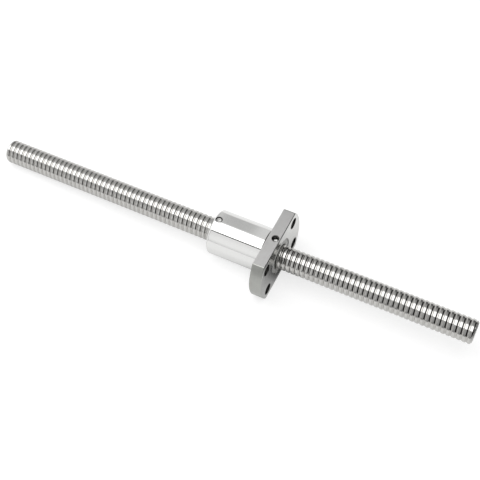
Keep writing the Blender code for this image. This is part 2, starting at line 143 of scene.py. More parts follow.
# Finishes of the nut, and how far a face has to look some way to count as doing so
NUT_FINISHES = ("ground", "milled", "turned", "faced", "bored", "painted_shade_recess")
LOOKS_OUT = 0.3
LOOKS_ALONG = 0.75
LOOKS_UP = 0.9
SHAFT_END_LOOKS_ALONG = 0.6

# Camera
CAMERA_AZIMUTH = math.radians(30.57)
CAMERA_ELEVATION = math.radians(56.26)
CAMERA_ROLL = math.radians(-4.71)
CAMERA_DISTANCE = 374.75 * MM
CAMERA_TARGET = Vector((5.99, 0.14, 0)) * MM
SENSOR_WIDTH = 36.0
LENS = 72.29

# Table and lights
FLOOR_RADIUS = 1.6
FLOOR_GREY = 0.48
FLOOR_GLOW = 0.66
# Painted shadow in the floor's glow that the metal sees, from ambient occlusion
PAINTED_SHADOW_DISTANCE = 22 * MM
PAINTED_SHADOW_POWER = 0.6
WORLD_LIGHT = 0.50
SOFTBOX_GLOW = 1.5
SOFTBOX_WIDTH = 0.52
SOFTBOX_LENGTH = 1.0
SOFTBOX_DISTANCE = 0.6
SOFTBOX_ANGLE = math.radians(8.3)
SOFTBOX_X = -0.19

# Light tent, whose walls meet at these places along the shaft
TENT_RADIUS = 0.55
PATCH_RADIUS = TENT_RADIUS - 20 * MM
TENT_STEPS = 40
BACK_WALL_ENDS = (-0.90, -0.45, -0.19, -0.115, -0.01, 0.22, 0.41)
FRONT_WALL_ENDS = (-0.90, -0.45, -0.19, -0.10, -0.01, 0.22, 0.41)
NUT_WALL_ENDS = FRONT_WALL_ENDS[2:4]
PATCH_ENDS = (-0.172, -0.1345)
PANEL_FOOT = -0.10
CARD_LIFT = 1 * MM


# Shapes


def on_circle(x, radius, angle):
    """A point at this angle about the shaft's axis, from +Z towards -Y."""
    return Vector((x, -radius * math.sin(angle), radius * math.cos(angle)))


def quarter_round(radius, steps=4):
    """(along, inset) pairs of a rounded edge, from the end face to the side."""
    turns = [math.pi / 2 * step / steps for step in range(steps + 1)]
    return [(radius * (1 - math.cos(turn)), radius * (1 - math.sin(turn))) for turn in turns]


def turned(profile, segments=TURNED_SEGMENTS, closed=False):
    """Spins (x, radius) points about X. A closed profile makes a ring, an open one ends on the axis."""
    bm = bmesh.new()
    verts = [bm.verts.new((x, 0, radius)) for x, radius in profile]
    pairs = list(zip(verts, verts[1:]))
    if closed:
        pairs.append((verts[-1], verts[0]))
    edges = [bm.edges.new(pair) for pair in pairs]
    bmesh.ops.spin(
        bm, geom=verts + edges, cent=(0, 0, 0), axis=(1, 0, 0), dvec=(0, 0, 0),
        angle=2 * math.pi, steps=segments, use_merge=True,
    )
    bmesh.ops.remove_doubles(bm, verts=bm.verts, dist=0.001 * MM)
    return bm


def lofted(sections):
    """Joins outlines with as many points each into one closed body with flat ends."""
    bm = bmesh.new()
    rings = [[bm.verts.new(point) for point in section] for section in sections]
    for low, high in zip(rings, rings[1:]):
        for i, vert in enumerate(low):
            j = (i + 1) % len(low)
            bm.faces.new((vert, low[j], high[j], high[i]))
    bm.faces.new(rings[0])
    bm.faces.new(rings[-1])
    return bm


def swept(points, radius, sides):
    """A round tube through the points, with flat ends."""
    rings = []
    for i, point in enumerate(points):
        before = points[max(i - 1, 0)]
        after = points[min(i + 1, len(points) - 1)]
        along = (after - before).normalized()
        outward = Vector((0, point.y, point.z)).normalized()
        across = along.cross(outward).normalized()
        outward = across.cross(along)
        turns = [2 * math.pi * side / sides for side in range(sides)]
        rings.append([point + radius * (across * math.cos(t) + outward * math.sin(t)) for t in turns])
    return lofted(rings)


def groove_arch(land_radius, outward):
    """One groove of the ball thread, as (x, radius) points from land to land.

    Two arcs meet at its root, and a small curve eases the edge of each land. outward is 1 for the
    nut, whose groove runs away from the axis, and -1 for the shaft.
    """
    offset = ARCH_RADIUS - BALL_RADIUS
    centre_x = offset * math.sin(ARCH_CONTACT_ANGLE)
    centre_radius = BALL_CENTRE_RADIUS - outward * offset * math.cos(ARCH_CONTACT_ANGLE)
    root_turn = math.asin(centre_x / ARCH_RADIUS)
    land_turn = math.acos((land_radius - centre_radius) * outward / ARCH_RADIUS)
    eased = LAND_EDGE_RADIUS * math.tan(land_turn / 2)
    edge_turn = land_turn - eased / ARCH_RADIUS
    half = []
    for step in range(ARCH_STEPS + 1):
        turn = root_turn + (edge_turn - root_turn) * step / ARCH_STEPS
        x = ARCH_RADIUS * math.sin(turn) - centre_x
        half.append((x, centre_radius + outward * ARCH_RADIUS * math.cos(turn)))
    land_x = ARCH_RADIUS * math.sin(land_turn) - centre_x
    start = Vector(half[-1])
    corner = Vector((land_x, land_radius))
    end = Vector((land_x + eased, land_radius))
    for share in LAND_EDGE_SHARES:
        half.append(tuple(start.lerp(corner, share).lerp(corner.lerp(end, share), share)))
    return [(-x, radius) for x, radius in half[:0:-1]] + half


def threaded_rod(profile, groove_x, x_low, x_high, columns):
    """A rod with the profile wound round it, reaching past both x values, ready to be cut to length.

    Each column of points stands one step further round and along the helix, so the column after a
    full turn is the first one, one pitch on.
    """
    first = math.floor((x_low - groove_x) / LEAD) - 1
    last = math.ceil((x_high - groove_x) / LEAD) + 1
    corners = len(profile)
    bm = bmesh.new()
    lines = []
    for step in range(columns):
        angle = 2 * math.pi * step / columns
        shift = groove_x + LEAD * step / columns
        lines.append([
            bm.verts.new(on_circle(shift + pitch * LEAD + x, radius, angle))
            for pitch in range(first, last + 1)
            for x, radius in profile
        ])
    count = len(lines[0])
    for step in range(columns):
        wraps = step == columns - 1
        here = lines[step]
        after = lines[0][corners:] if wraps else lines[step + 1]
        length = count - corners if wraps else count
        for i in range(length - 1):
            bm.faces.new((here[i], here[i + 1], after[i + 1], after[i]))
    low_rim = [line[0] for line in lines] + lines[0][corners:0:-1]
    high_rim = [line[-1] for line in lines] + lines[-1][-2:-corners - 2:-1]
    for rim, centre_x in ((low_rim, (first - 1) * LEAD), (high_rim, (last + 2) * LEAD)):
        centre = bm.verts.new((groove_x + centre_x, 0, 0))
        for vert, other in zip(rim, rim[1:] + rim[:1]):
            bm.faces.new((vert, other, centre))
    return bm


def round_section(x, z, radius, segments):
    """A level circle of points about a vertical axis at this x."""
    turns = [2 * math.pi * (i + 0.5) / segments for i in range(segments)]
    return [(x + radius * math.cos(turn), radius * math.sin(turn), z) for turn in turns]


# Pieces as objects


def solid(name, bm):
    """An object of this bmesh, in the scene, with its faces pointing out."""
    bmesh.ops.recalc_face_normals(bm, faces=bm.faces)
    mesh = bpy.data.meshes.new(name)
    bm.to_mesh(mesh)
    bm.free()
    obj = bpy.data.objects.new(name, mesh)
    bpy.context.scene.collection.objects.link(obj)
    return obj


def cut(obj, tools, operation="DIFFERENCE"):
    """Works each bmesh into obj's mesh in turn, and leaves no modifier or tool behind."""
    for bm in tools:
        tool = solid("cutting_tool", bm)
        modifier = obj.modifiers.new("Cut", "BOOLEAN")
        modifier.operation = operation
        modifier.solver = "EXACT"
        modifier.object = tool
        bpy.context.view_layer.update()
        evaluated = obj.evaluated_get(bpy.context.evaluated_depsgraph_get())
        worked = bpy.data.meshes.new_from_object(evaluated)
        obj.modifiers.clear()
        old = obj.data
        obj.data = worked
        worked.name = obj.name
        bpy.data.meshes.remove(old)
        bpy.data.objects.remove(tool)
    drop_slivers(obj.data)
    return obj


def drop_slivers(mesh):
    """Merges points that a cut left almost together, and splits faces of many corners into triangles."""
    bm = bmesh.new()
    bm.from_mesh(mesh)
    bmesh.ops.dissolve_degenerate(bm, dist=SLIVER, edges=bm.edges)
    bmesh.ops.triangulate(bm, faces=[face for face in bm.faces if len(face.verts) > 4])
    bmesh.ops.dissolve_degenerate(bm, dist=SLIVER, edges=bm.edges)
    bm.to_mesh(mesh)
    bm.free()


def dress(obj, materials, body, stands_for, choose=None):
    """Shades a piece smooth, gives it its finishes and hangs it on its body in place of its CAD node.

    choose takes a face's middle and normal and gives the number of its material.
    """
    mesh = obj.data
    mesh.materials.clear()
    for material in materials:
        mesh.materials.append(material)
    for polygon in mesh.polygons:
        polygon.material_index = choose(polygon.center, polygon.normal) if choose else 0
    mesh.shade_smooth()
    mesh.set_sharp_from_angle(angle=SHARP_ANGLE)
    weigh = obj.modifiers.new("Flat faces keep their normals", "WEIGHTED_NORMAL")
    weigh.keep_sharp = True
    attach(obj, body)
    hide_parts(stands_for)
    return obj


# Node trees


def add_node(tree, kind, inputs=None, **settings):
    """Adds a node, sets what is given, and links each input that is given as a socket."""
    node = tree.nodes.new(kind)
    for name, value in settings.items():
        setattr(node, name, value)
    for name, value in (inputs or {}).items():
        if isinstance(value, bpy.types.NodeSocket):
            tree.links.new(value, node.inputs[name])
        else:
            node.inputs[name].default_value = value
    return node


def calculate(tree, operation, *values):
    """A Math node's result from numbers and sockets."""
    inputs = dict(enumerate(values))
    return add_node(tree, "ShaderNodeMath", inputs, operation=operation).outputs[0]


def varied(tree, value, *shares):
    """A value with a share of each other one added to it, from (share, source) pairs."""
    for share, source in shares:
        value = calculate(tree, "MULTIPLY_ADD", source, share, value)
    return value


def remap(tree, value, from_low, from_high, to_low, to_high):
    """A value carried from one range to another, and held at its ends."""
    ends = {"From Min": from_low, "From Max": from_high, "To Min": to_low, "To Max": to_high}
    return add_node(tree, "ShaderNodeMapRange", {"Value": value, **ends}).outputs["Result"]


def object_place(tree):
    """A point's place in its object's own coordinates."""
    return add_node(tree, "ShaderNodeTexCoord").outputs["Object"]


def multiply_colour(tree, colour, tone):
    """A colour made lighter or darker by a value that lies about 1."""
    grey = add_node(tree, "ShaderNodeCombineColor", {"Red": tone, "Green": tone, "Blue": tone})
    inputs = {"Factor": 1.0, 6: colour, 7: grey.outputs["Color"]}
    mix = add_node(tree, "ShaderNodeMix", inputs, data_type="RGBA", blend_type="MULTIPLY", clamp_result=True)
    return mix.outputs[2]


def set_stops(ramp, stops):
    """Sets a colour ramp's stops from (position, colour) pairs. A grey is given as one number."""
    elements = ramp.color_ramp.elements
    last = len(stops) - 1
    for index, (place, colour) in enumerate(stops):
        stop = elements[0] if index == 0 else elements[-1] if index == last else elements.new(place)
        stop.position = place
        stop.color = (*colour, 1) if isinstance(colour, tuple) else (colour, colour, colour, 1)


def grey_ramp(tree, value, levels, scale):
    """A grey that runs from level to level with a value. levels are (value over scale, grey) pairs."""
    low, high = levels[0][0], levels[-1][0]
    ramp = add_node(tree, "ShaderNodeValToRGB", {"Fac": remap(tree, value, low * scale, high * scale, 0, 1)})
    set_stops(ramp, [((place - low) / (high - low), level) for place, level in levels])
    return ramp.outputs["Color"]


def press_in(tree, shader, height, depth):
    """Drives the shader's normal by a bump of this height and depth."""
    bump = add_node(tree, "ShaderNodeBump", {"Strength": 1.0, "Distance": depth, "Height": height})
    tree.links.new(bump.outputs["Normal"], shader["Normal"])


def new_group(name, inputs, outputs):
    """An empty node group with named sockets, and its inside ends."""
    tree = bpy.data.node_groups.new(name, "ShaderNodeTree")
    for label, kind, value in inputs:
        socket = tree.interface.new_socket(label, in_out="INPUT", socket_type=kind)
        socket.default_value = value
    for label, kind in outputs:
        tree.interface.new_socket(label, in_out="OUTPUT", socket_type=kind)
    given = tree.nodes.new("NodeGroupInput").outputs
    results = tree.nodes.new("NodeGroupOutput").inputs
    return tree, given, results


def use_group(tree, group, **inputs):
    """Places a node group. An input's name is written with underscores for spaces."""
    node = tree.nodes.new("ShaderNodeGroup")
    node.node_tree = group
    for name, value in inputs.items():
        label = name.replace("_", " ")
        if isinstance(value, bpy.types.NodeSocket):
            tree.links.new(value, node.inputs[label])
        else:
            node.inputs[label].default_value = value
    return node.outputs


def tool_lines_group():
    """Fine parallel tool marks across a coordinate, some deeper than others."""
    tree, given, results = new_group(
        "Tool lines",
        [("Across", "NodeSocketFloat", 0.0), ("Line Width", "NodeSocketFloat", 0.1 * MM)],
        [("Height", "NodeSocketFloat"), ("Tone", "NodeSocketFloat")],
    )
    count = calculate(tree, "DIVIDE", given["Across"], given["Line Width"])
    fine = add_node(
        tree, "ShaderNodeTexNoise", {"W": count, "Scale": 1.0, "Detail": 2.0}, noise_dimensions="1D"
    )
    broad = add_node(
        tree, "ShaderNodeTexNoise", {"W": count, "Scale": 0.13, "Detail": 3.0}, noise_dimensions="1D"
    )
    height = varied(tree, 0.0, (0.6, broad.outputs[0]), (0.4, fine.outputs[0]))
    tree.links.new(height, results["Height"])
    tree.links.new(varied(tree, -1.0, (2.0, height)), results["Tone"])
    return tree


def steel_grain_group():
    """Cloudy variation of a steel surface at two sizes, and a fine speckle."""
    tree, given, results = new_group(
        "Steel grain",
        [("Position", "NodeSocketVector", (0, 0, 0)), ("Patch Size", "NodeSocketFloat", 2.0 * MM)],
        [("Cloud", "NodeSocketFloat"), ("Speckle", "NodeSocketFloat")],
    )
    scale = calculate(tree, "DIVIDE", 1.0, given["Patch Size"])
    cloud = add_node(
        tree, "ShaderNodeTexNoise",
        {"Vector": given["Position"], "Scale": scale, "Detail": 4.0, "Roughness": 0.55, "Distortion": 0.4},
    )
    small_scale = calculate(tree, "MULTIPLY", scale, 14.0)
    speckle = add_node(
        tree, "ShaderNodeTexNoise", {"Vector": given["Position"], "Scale": small_scale, "Detail": 2.0}
    )
    for source, label in ((cloud, "Cloud"), (speckle, "Speckle")):
        tree.links.new(varied(tree, -1.0, (2.0, source.outputs[0])), results[label])
    return tree


def round_place_group():
    """Where a point lies about the shaft: its place along it, distance from its axis and angle."""
    tree, given, results = new_group(
        "Place about the shaft",
        [("Position", "NodeSocketVector", (0, 0, 0))],
        [("Along", "NodeSocketFloat"), ("Radius", "NodeSocketFloat"), ("Turn", "NodeSocketFloat")],
    )
    parts = add_node(tree, "ShaderNodeSeparateXYZ", {0: given["Position"]}).outputs
    y_square, z_square = (calculate(tree, "POWER", parts[axis], 2.0) for axis in ("Y", "Z"))
    squares = calculate(tree, "ADD", y_square, z_square)
    back = calculate(tree, "MULTIPLY", parts["Y"], -1.0)
    tree.links.new(parts["X"], results["Along"])
    tree.links.new(calculate(tree, "SQRT", squares), results["Radius"])
    tree.links.new(calculate(tree, "ARCTAN2", back, parts["Z"]), results["Turn"])
    return tree


def thread_place_group(round_place):
    """Where a point lies across the thread: 0 in the middle of the groove, 1 in the middle of the land."""
    tree, given, results = new_group(
        "Place across the thread",
        [("Position", "NodeSocketVector", (0, 0, 0))],
        [("Across", "NodeSocketFloat")],
    )
    place = use_group(tree, round_place, Position=given["Position"])
    turns = calculate(tree, "DIVIDE", place["Turn"], 2 * math.pi)
    pitches = varied(tree, -GROOVE_AT_TOP / LEAD, (1 / LEAD, place["Along"]))
    phase = calculate(tree, "ADD", calculate(tree, "SUBTRACT", pitches, turns), 0.5)
    middle = calculate(tree, "SUBTRACT", calculate(tree, "FRACT", phase), 0.5)
    tree.links.new(calculate(tree, "MULTIPLY", calculate(tree, "ABSOLUTE", middle), 2.0), results["Across"])
    return tree


# Finishes


def new_material(name, groups, patch_mm, metallic=1.0):
    """A material with its shader, its object coordinates, and its grain in patches of this many mm."""
    material = bpy.data.materials.new(name)
    material.use_nodes = True
    tree = material.node_tree
    shader = tree.nodes["Principled BSDF"]
    shader.inputs["Metallic"].default_value = metallic
    position = object_place(tree)
    grain = use_group(tree, groups["steel_grain"], Position=position, Patch_Size=patch_mm * MM)
    return material, tree, shader.inputs, position, grain


def coat(tree, shader, colour, shade, roughness):
    """Gives the shader a colour that the shade makes lighter and darker, and a roughness."""
    tree.links.new(multiply_colour(tree, colour, shade), shader["Base Color"])
    tree.links.new(roughness, shader["Roughness"])


def bare_material(name):
    """A material without a shader, and its tree."""
    material = bpy.data.materials.new(name)
    material.use_nodes = True
    material.node_tree.nodes.clear()
    return material, material.node_tree


def across_the_marks(tree, position, across):
    """The direction that crosses the tool marks, in which they spread a highlight."""
    scale = (1, 0, 0) if across == "Along" else (0, 1, 1)
    start = (1, 0, 0) if across == "Along" else position
    part = add_node(tree, "ShaderNodeVectorMath", {0: start, 1: scale}, operation="MULTIPLY").outputs[0]
    in_world = add_node(
        tree, "ShaderNodeVectorTransform", {"Vector": part},
        vector_type="VECTOR", convert_from="OBJECT", convert_to="WORLD",
    )
    return add_node(tree, "ShaderNodeVectorMath", {0: in_world.outputs[0]}, operation="NORMALIZE").outputs[0]


def worked_steel(groups, name, colour, roughness, across, line_width, line_depth, tone, spread):
    """Bare machined steel: tool lines along one direction over a faintly cloudy surface.

    across is the coordinate that the lines are counted along: Along for rings round the shaft's
    axis, Radius for rings on a face. tone is how much the colour varies, and spread how much more
    the lines blur across than along.
    """
    material, tree, shader, position, grain = new_material(name, groups, patch_mm=2.0)
    place = use_group(tree, groups["round_place"], Position=position)
    lines = use_group(tree, groups["tool_lines"], Across=place[across], Line_Width=line_width)
    shade = varied(tree, 1.0, (tone, lines["Tone"]), (tone, grain["Cloud"]), (0.5 * tone, grain["Speckle"]))
    rough = varied(tree, roughness, (0.18 * roughness, grain["Cloud"]), (0.25 * roughness, lines["Tone"]))
    coat(tree, shader, (*colour, 1), shade, rough)
    press_in(tree, shader, varied(tree, lines["Height"], (0.3, grain["Speckle"])), line_depth)
    shader["Anisotropic"].default_value = spread
    tree.links.new(across_the_marks(tree, position, across), shader["Tangent"])
    return material


def thread_steel(groups):
    """Hardened thread: ground lands with a painted highlight on their rims, and grooves polished by the
    balls, with painted shade on their roots and walls.
    """
    material, tree, shader, position, grain = new_material("hardened_thread_steel", groups, patch_mm=1.6)
    across = use_group(tree, groups["thread_place"], Position=position)["Across"]
    lines = use_group(tree, groups["tool_lines"], Across=across, Line_Width=0.02)
    # Painted shade: the groove root and the walls next to the lands are darker; the rim of each land is a
    # painted highlight.
    root, track, edge = (0.42, 0.412, 0.395), (0.46, 0.45, 0.435), (0.40, 0.392, 0.375)
    painted_land_highlight, land = (0.56, 0.55, 0.53), (0.52, 0.515, 0.50)
    ramp = add_node(tree, "ShaderNodeValToRGB", {"Fac": across})
    set_stops(ramp, [(0.0, root), (0.14, track), (0.46, edge), (0.56, painted_land_highlight), (0.66, land)])
    shade = varied(tree, 1.0, (0.10, grain["Cloud"]), (0.06, lines["Tone"]), (0.05, grain["Speckle"]))
    rough = varied(tree, remap(tree, across, 0.4, 0.6, 0.08, 0.12), (0.03, grain["Cloud"]))
    coat(tree, shader, ramp.outputs["Color"], shade, rough)
    press_in(tree, shader, lines["Height"], 0.0008 * MM)
    return material


def sintered_steel(groups):
    """Sintered steel of the deflectors: grey, with fine open pores."""
    material, tree, shader, position, grain = new_material("sintered_deflector_steel", groups, patch_mm=1.2)
    pores = add_node(tree, "ShaderNodeTexVoronoi", {"Vector": position, "Scale": 1 / (0.16 * MM)})
    dark = remap(tree, pores.outputs["Distance"], 0.05, 0.30, 0.72, 1.0)
    shade = varied(tree, dark, (0.12, grain["Cloud"]))
    coat(tree, shader, (0.50, 0.50, 0.485, 1), shade, varied(tree, 0.38, (0.08, grain["Cloud"])))
    press_in(tree, shader, dark, 0.01 * MM)
    return material


def ball_steel(groups):
    """Polished bearing steel, with a thin uneven film of oil."""
    material, tree, shader, _position, grain = new_material("polished_ball_steel", groups, patch_mm=0.8)
    shade = varied(tree, 1.0, (0.04, grain["Cloud"]))
    coat(tree, shader, (0.74, 0.74, 0.735, 1), shade, varied(tree, 0.07, (0.02, grain["Cloud"])))
    return material


def wiper_resin(groups):
    """Moulded grey resin with a fine moulded grain, turned true on its lip."""
    material, tree, shader, position, grain = new_material("wiper_resin", groups, patch_mm=0.9, metallic=0.0)
    place = use_group(tree, groups["round_place"], Position=position)
    lines = use_group(tree, groups["tool_lines"], Across=place["Radius"], Line_Width=0.06 * MM)
    shade = varied(tree, 1.0, (0.05, grain["Cloud"]), (0.05, grain["Speckle"]))
    coat(tree, shader, (0.60, 0.60, 0.58, 1), shade, varied(tree, 0.42, (0.06, grain["Speckle"])))
    press_in(tree, shader, varied(tree, lines["Height"], (0.5, grain["Speckle"])), 0.004 * MM)
    return material


def make_groups():
    """The node groups that the finishes and the tent share."""
    round_place = round_place_group()
    return {
        "tool_lines": tool_lines_group(),
        "steel_grain": steel_grain_group(),
        "round_place": round_place,
        "thread_place": thread_place_group(round_place),
    }


def make_finishes(groups):
    """Every finish of the part, by the name that its pieces call it by.

    The worked steels are listed with their colour, their roughness, how their tool lines run, the
    lines' width and depth in mm, their tone and their spread.
    """
    worked = {
        "ground": ("ground_body_steel", (0.72, 0.72, 0.71), 0.08, "Along", 0.12, 0.0003, 0.02, 0.4),
        "milled": ("milled_flat_steel", (0.52, 0.515, 0.51), 0.36, "Along", 0.25, 0.006, 0.05, 0.2),
        "turned": ("turned_rim_steel", (0.37, 0.375, 0.355), 0.32, "Along", 0.45, 0.008, 0.10, 0.5),
        "faced": ("faced_flange_steel", (0.57, 0.57, 0.555), 0.22, "Radius", 0.20, 0.002, 0.05, 0.8),
        "bored": ("bored_nut_steel", (0.36, 0.355, 0.34), 0.30, "Along", 0.2, 0.008, 0.12, 0.0),
        # Near black, for the holes and the relief groove: painted shade in the recesses.
        "painted_shade_recess": ("recess_steel_painted_shade", (0.09, 0.088, 0.084), 0.40, "Along", 0.2, 0.008, 0.12, 0.0),
        "cut_end": ("cut_end_steel", (0.66, 0.655, 0.64), 0.60, "Radius", 0.25, 0.006, 0.08, 0.0),
        "set_screw": ("set_screw_steel", (0.72, 0.72, 0.71), 0.22, "Along", 0.2, 0.004, 0.10, 0.0),
    }
    finishes = {}
    for finish, (name, colour, roughness, across, width, depth, tone, spread) in worked.items():
        finishes[finish] = worked_steel(
            groups, name, colour, roughness, across, width * MM, depth * MM, tone, spread
        )
    finishes["thread"] = thread_steel(groups)
    finishes["sintered"] = sintered_steel(groups)
    finishes["balls"] = ball_steel(groups)
    finishes["resin"] = wiper_resin(groups)
    return finishes


# Screw shaft


def make_shaft(finishes):
    """The threaded shaft, cut to length and chamfered by one turned blank."""
    half = SHAFT_HALF_LENGTH
    thread = threaded_rod(groove_arch(LAND_RADIUS, -1), GROOVE_AT_TOP, -half, half, SHAFT_COLUMNS)
    shaft = solid("ball_thread_shaft", thread)
    small = SMALL_EDGE
    taper = SHAFT_END_CHAMFER + CUT_MARGIN
    end = [
        (half, 0),
        (half, LAND_RADIUS - SHAFT_END_CHAMFER - small),
        (half - small, LAND_RADIUS - SHAFT_END_CHAMFER),
        (half - small - taper, LAND_RADIUS + CUT_MARGIN),
    ]
    blank = turned(end + [(-x, radius) for x, radius in reversed(end)])
    cut(shaft, [blank], "INTERSECT")
    flat_end = half - SHAFT_END_CHAMFER

    def finish_of(middle, normal):
        return 1 if abs(middle.x) > flat_end and abs(normal.x) > SHAFT_END_LOOKS_ALONG else 0

    dress(shaft, [finishes["thread"], finishes["cut_end"]], "screw", "screw_shaft", finish_of)


# Nut


def corner_middle(start, corner, end):
    """The middle of the small curve that rounds a corner."""
    return tuple(0.25 * start + 0.5 * corner + 0.25 * end)


def flange_outline(inset):
    """The flange's (y, z) outline: two arcs and two flats, with small rounded corners where they meet."""
    radius = FLANGE_RADIUS - inset
    half_height = FLANGE_HALF_HEIGHT - inset
    corner = math.asin(half_height / radius)
    arc_end = corner - FLANGE_CORNER / radius
    corner_y = radius * math.cos(corner)
    steps = FLANGE_ARC_STEPS
    outline = []
    for side in (0, math.pi):
        facing = math.cos(side)
        for step in range(steps + 1):
            turn = side - arc_end + 2 * arc_end * step / steps
            outline.append((radius * math.cos(turn), radius * math.sin(turn)))
        arc_last = Vector(outline[-1])
        flat_first = Vector((facing * (corner_y - FLANGE_CORNER), facing * half_height))
        sharp = Vector((facing * corner_y, facing * half_height))
        flat_last = Vector((-flat_first.x, flat_first.y))
        next_sharp = Vector((-sharp.x, sharp.y))
        next_turn = side + math.pi - arc_end
        next_arc = Vector((radius * math.cos(next_turn), radius * math.sin(next_turn)))
        outline.append(corner_middle(arc_last, sharp, flat_first))
        outline += [tuple(flat_first), tuple(flat_last)]
        outline.append(corner_middle(flat_last, next_sharp, next_arc))
    return outline


def flange_blank():
    """The flange without its holes. Its edges are chamfered, and each chamfer's own edges eased."""
    chamfer, ease, rise = FLANGE_EDGE_CHAMFER, EDGE_EASE, EDGE_EASE_RISE
    edge = [(0, chamfer + ease), (rise, chamfer), (chamfer, rise), (chamfer + ease, 0)]
    sections = [(SEAT_X + along, inset) for along, inset in edge]
    sections += [(FRONT_X - along, inset) for along, inset in reversed(edge)]
    return lofted([[(x, y, z) for y, z in flange_outline(inset)] for x, inset in sections])


def barrel_blank():
    """The round body from its rear rim to its relief, run on into the flange to join it."""
    rim = quarter_round(BODY_RIM_RADIUS, BODY_RIM_STEPS)
    small_edge = quarter_round(SMALL_EDGE)
    relief_start = SEAT_X - RELIEF_WIDTH
    relief_radius = BODY_RADIUS - RELIEF_DEPTH
    profile = [(REAR_X, 0)]
    profile += [(REAR_X + along, BODY_RADIUS - inset) for along, inset in rim]
    profile += [(relief_start - along, BODY_RADIUS - inset) for along, inset in reversed(small_edge)]
    profile += [(relief_start, relief_radius + SMALL_EDGE), (relief_start + SMALL_EDGE, relief_radius)]
    join_x = SEAT_X + FLANGE_THICKNESS / 2
    profile += [(join_x, relief_radius), (join_x, 0)]
    return turned(profile)


def pocket_tool(end_x, outward):
    """A wiper's chamfered counterbore. outward is 1 when it opens towards +X."""
    flare = CUT_MARGIN + POCKET_CHAMFER
    profile = [(CUT_MARGIN, 0), (CUT_MARGIN, POCKET_RADIUS + flare), (-POCKET_CHAMFER, POCKET_RADIUS)]
    profile += [(-POCKET_DEPTH, POCKET_RADIUS), (-POCKET_DEPTH, 0)]
    return turned([(end_x + outward * x, radius) for x, radius in profile])


def bolt_hole_tool(y, z):
    """A through hole with small chamfers at both of its mouths."""
    flare = BOLT_HOLE_RADIUS + BOLT_HOLE_CHAMFER + CUT_MARGIN
    sizes = [
        (SEAT_X - CUT_MARGIN, flare),
        (SEAT_X + BOLT_HOLE_CHAMFER, BOLT_HOLE_RADIUS),
        (FRONT_X - BOLT_HOLE_CHAMFER, BOLT_HOLE_RADIUS),
        (FRONT_X + CUT_MARGIN, flare),
    ]
    turns = [2 * math.pi * i / SMALL_SEGMENTS for i in range(SMALL_SEGMENTS)]
    return lofted([
        [(x, y + radius * math.cos(turn), z + radius * math.sin(turn)) for turn in turns]
        for x, radius in sizes
    ])


def bolt_places():
    """The (y, z) centres of the four bolt holes."""
    along_y = BOLT_CIRCLE_RADIUS * math.cos(BOLT_ANGLE_FROM_Y)
    along_z = BOLT_CIRCLE_RADIUS * math.sin(BOLT_ANGLE_FROM_Y)
    return [(y, z) for y in (along_y, -along_y) for z in (along_z, -along_z)]


def set_screw_hole_tool(x, surface_z):
    """A hole from the outside down into the wiper's counterbore, chamfered at its mouth."""
    radius = SET_SCREW_HOLE_RADIUS
    heights = [
        (surface_z + CUT_MARGIN, radius + SET_SCREW_HOLE_CHAMFER + CUT_MARGIN),
        (surface_z - SET_SCREW_HOLE_CHAMFER, radius),
        (BORE_RADIUS, radius),
    ]
    return lofted([round_section(x, z, size, SMALL_SEGMENTS) for z, size in heights])


def stadium(circuit_x, grow, inner, outer):
    """A deflector's outline, grown by the given gap, between two heights over the axis."""
    radius = DEFLECTOR_WIDTH / 2 + grow
    straight = (DEFLECTOR_LENGTH - DEFLECTOR_WIDTH) / 2
    steps = DEFLECTOR_END_STEPS
    outline = []
    for centre_z, start in ((straight, 0), (-straight, math.pi)):
        for step in range(steps + 1):
            turn = start + math.pi * step / steps
            outline.append((circuit_x + radius * math.cos(turn), centre_z + radius * math.sin(turn)))
    return lofted([[(x, y, z) for x, z in outline] for y in (inner, outer)])


def set_screw_places():
    """Each set screw's place along the shaft and the height of the surface that it goes in from."""
    return {
        "front_wiper_set_screw": (FRONT_X - SET_SCREW_INSET, FLANGE_HALF_HEIGHT),
        "rear_wiper_set_screw": (REAR_X + SET_SCREW_INSET, BODY_RADIUS),
    }


def circuit_middles():
    """Where each ball circuit lies along the shaft, from its CAD deflector."""
    return [sum(corner.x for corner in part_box(f"return_deflector_{i}")) / 2 for i in CIRCUITS]


def nut_finish(middle, normal):
    """The name of a nut face's finish, from the face's middle and normal."""
    radius = math.hypot(middle.y, middle.z)
    edge = FLANGE_EDGE_CHAMFER + SMALL_EDGE
    mouth = SET_SCREW_HOLE_RADIUS + SET_SCREW_HOLE_CHAMFER
    looks_out = normal.y * middle.y + normal.z * middle.z > LOOKS_OUT * max(radius, SMALL_EDGE)
    looks_off_flat = abs(normal.z) > LOOKS_OUT and normal.z * middle.z > 0
    in_flange = middle.x > SEAT_X - SMALL_EDGE
    screws = set_screw_places().values()
    at_screw = any(math.hypot(middle.x - x, middle.y) < mouth for x, _surface_z in screws)
    # Hole walls and the relief groove take the near-black finish, painted shade in the recesses.
    if at_screw and middle.z > POCKET_RADIUS and normal.z < LOOKS_UP:
        return "painted_shade_recess"
    if not in_flange and middle.x > SEAT_X - RELIEF_WIDTH and looks_out:
        return "painted_shade_recess"
    if in_flange and radius > FLANGE_RADIUS - edge and looks_out:
        return "turned"
    if in_flange and abs(middle.z) > FLANGE_HALF_HEIGHT - edge and looks_off_flat:
        return "milled"
    if abs(normal.x) > LOOKS_ALONG:
        return "faced"
    if radius > BODY_RADIUS - RELIEF_DEPTH - SMALL_EDGE and looks_out and not in_flange:
        return "ground"
    return "painted_shade_recess" if radius > POCKET_RADIUS + SMALL_EDGE else "bored"


